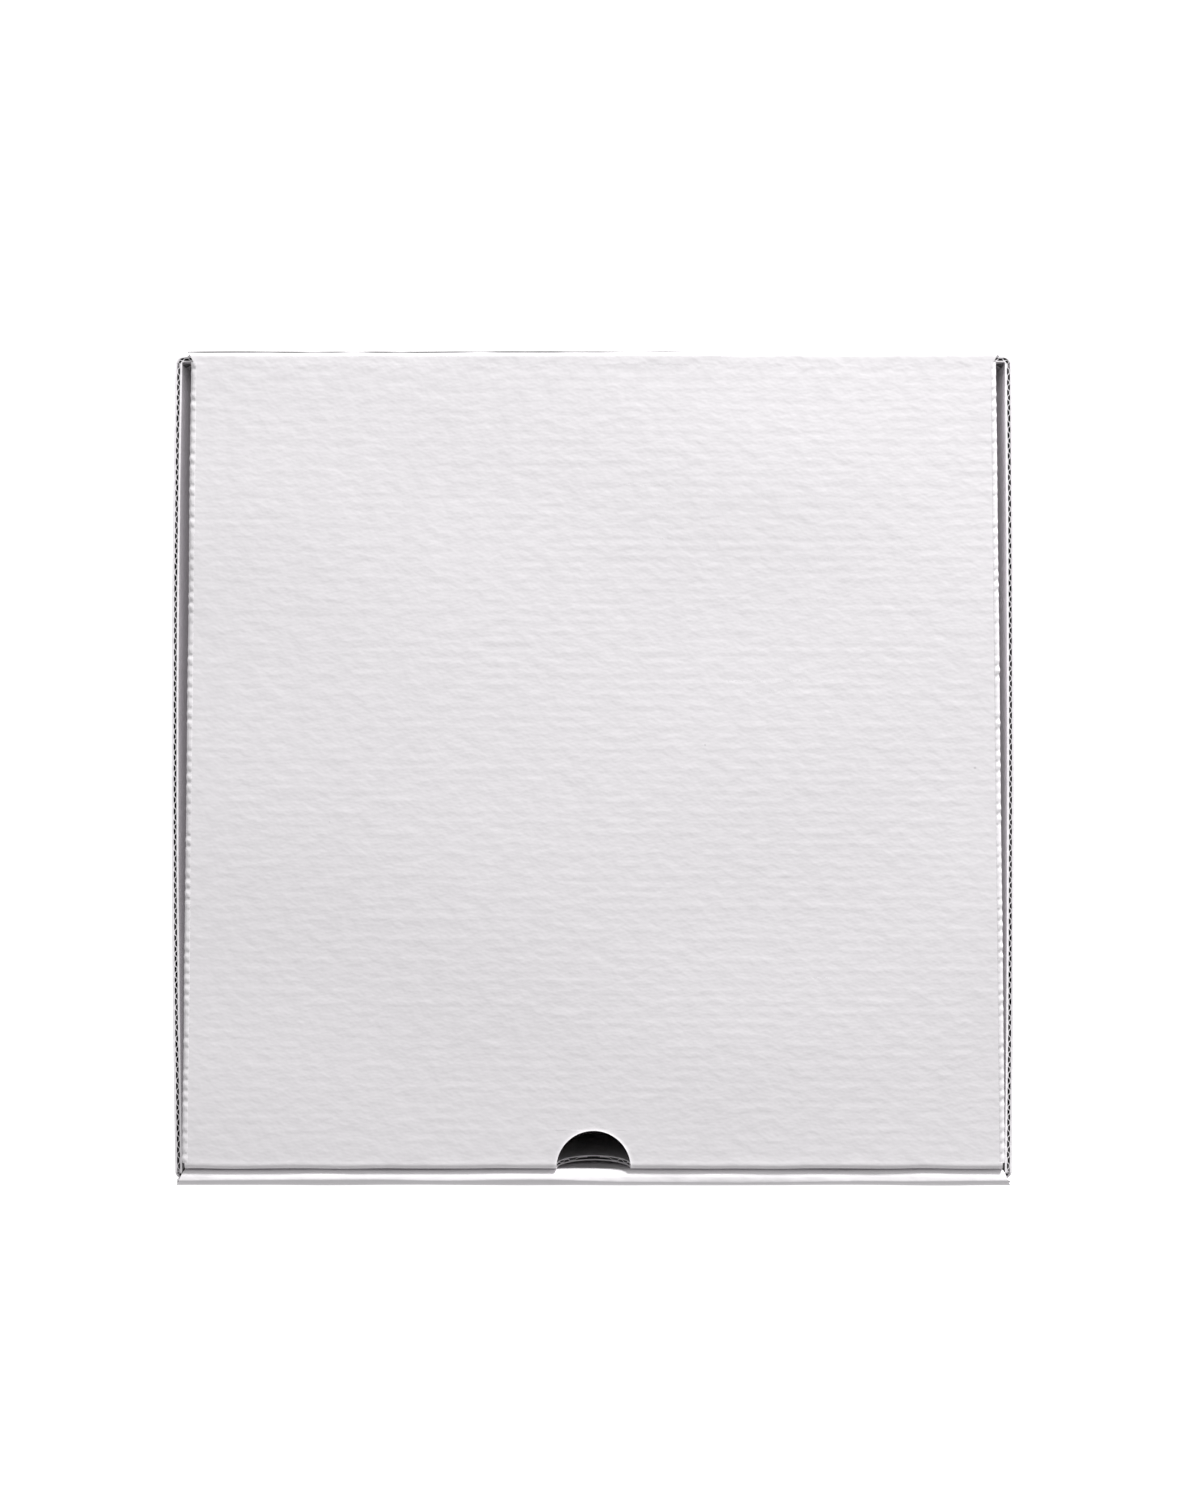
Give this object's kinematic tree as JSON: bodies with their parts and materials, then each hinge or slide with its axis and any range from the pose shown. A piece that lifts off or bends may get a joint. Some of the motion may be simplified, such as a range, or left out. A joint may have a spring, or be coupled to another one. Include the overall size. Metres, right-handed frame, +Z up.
{
  "type": "corrugated gift box",
  "caption": "Square white corrugated gift box folded from one sheet, with rolled front wall, open fluted side edges, thumb hole and hinged tuck lid.",
  "frame": {"origin": "middle of the footprint, on the underside of the base", "axes": "+X to the box's right seen from the front, +Y from the front wall to the rear wall, +Z up"},
  "size_m": [0.26, 0.26, 0.079],
  "materials": {
    "board_tray": "matte",
    "board_lid": "matte"
  },
  "bodies": {
    "tray": {"tray": "board_tray"},
    "lid": {"lid": "board_lid"}
  },
  "joints": [
    {"name": "lid_crease", "type": "hinge", "parent": "tray", "child": "lid", "pos_m": [0, 0.12944, 0.07844], "axis": [-1, 0, 0], "range_deg": [0, 180]}
  ]
}
